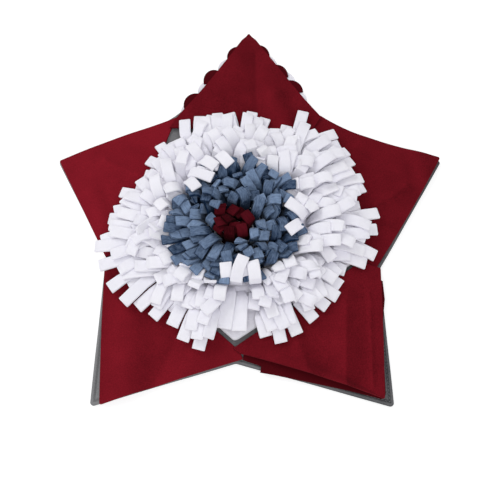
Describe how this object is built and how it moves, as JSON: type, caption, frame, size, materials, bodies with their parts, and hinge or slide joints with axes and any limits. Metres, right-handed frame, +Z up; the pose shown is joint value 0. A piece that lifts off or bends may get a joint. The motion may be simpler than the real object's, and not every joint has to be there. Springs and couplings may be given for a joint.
{
  "type": "snuffle mat",
  "caption": "Star-shaped felt snuffle mat with loose flaps over its points, scalloped petal rows and a round mound of fleece strips.",
  "frame": {"origin": "on the surface that the mat lies on, under the middle of its outline", "axes": "+Z up out of the mat, +Y towards the top point of the star, +X towards its right point"},
  "size_m": [0.4002, 0.4125, 0.0481],
  "materials": {
    "felt_grey": "dark grey needle felt, matt",
    "felt_dark_red": "dark red needle felt, matt",
    "fleece_white": "white polar fleece, soft",
    "fleece_blue": "blue-grey polar fleece, soft",
    "fleece_dark_red": "dark red polar fleece, soft"
  },
  "bodies": {
    "root": {"base_star": "felt_grey", "fringe_pad": "fleece_white", "flap_top": "felt_dark_red", "flap_left": "felt_dark_red", "flap_lower_left": "felt_dark_red", "flap_lower_right": "felt_dark_red", "flap_right": "felt_dark_red", "under_flap_lower_right": "felt_dark_red", "petal_row_1": "fleece_white", "petal_row_2": "felt_dark_red", "petal_row_3": "fleece_white", "petal_row_4": "felt_dark_red", "petal_row_5": "fleece_white", "petal_row_6": "felt_dark_red", "white_row_1": "fleece_white", "white_row_2": "fleece_white", "white_row_3": "fleece_white", "white_row_4": "fleece_white", "white_row_5": "fleece_white", "blue_row_1": "fleece_blue", "blue_row_2": "fleece_blue", "blue_row_3": "fleece_blue", "blue_row_4": "fleece_blue", "red_row_1": "fleece_dark_red", "red_row_2": "fleece_dark_red"}
  },
  "joints": []
}
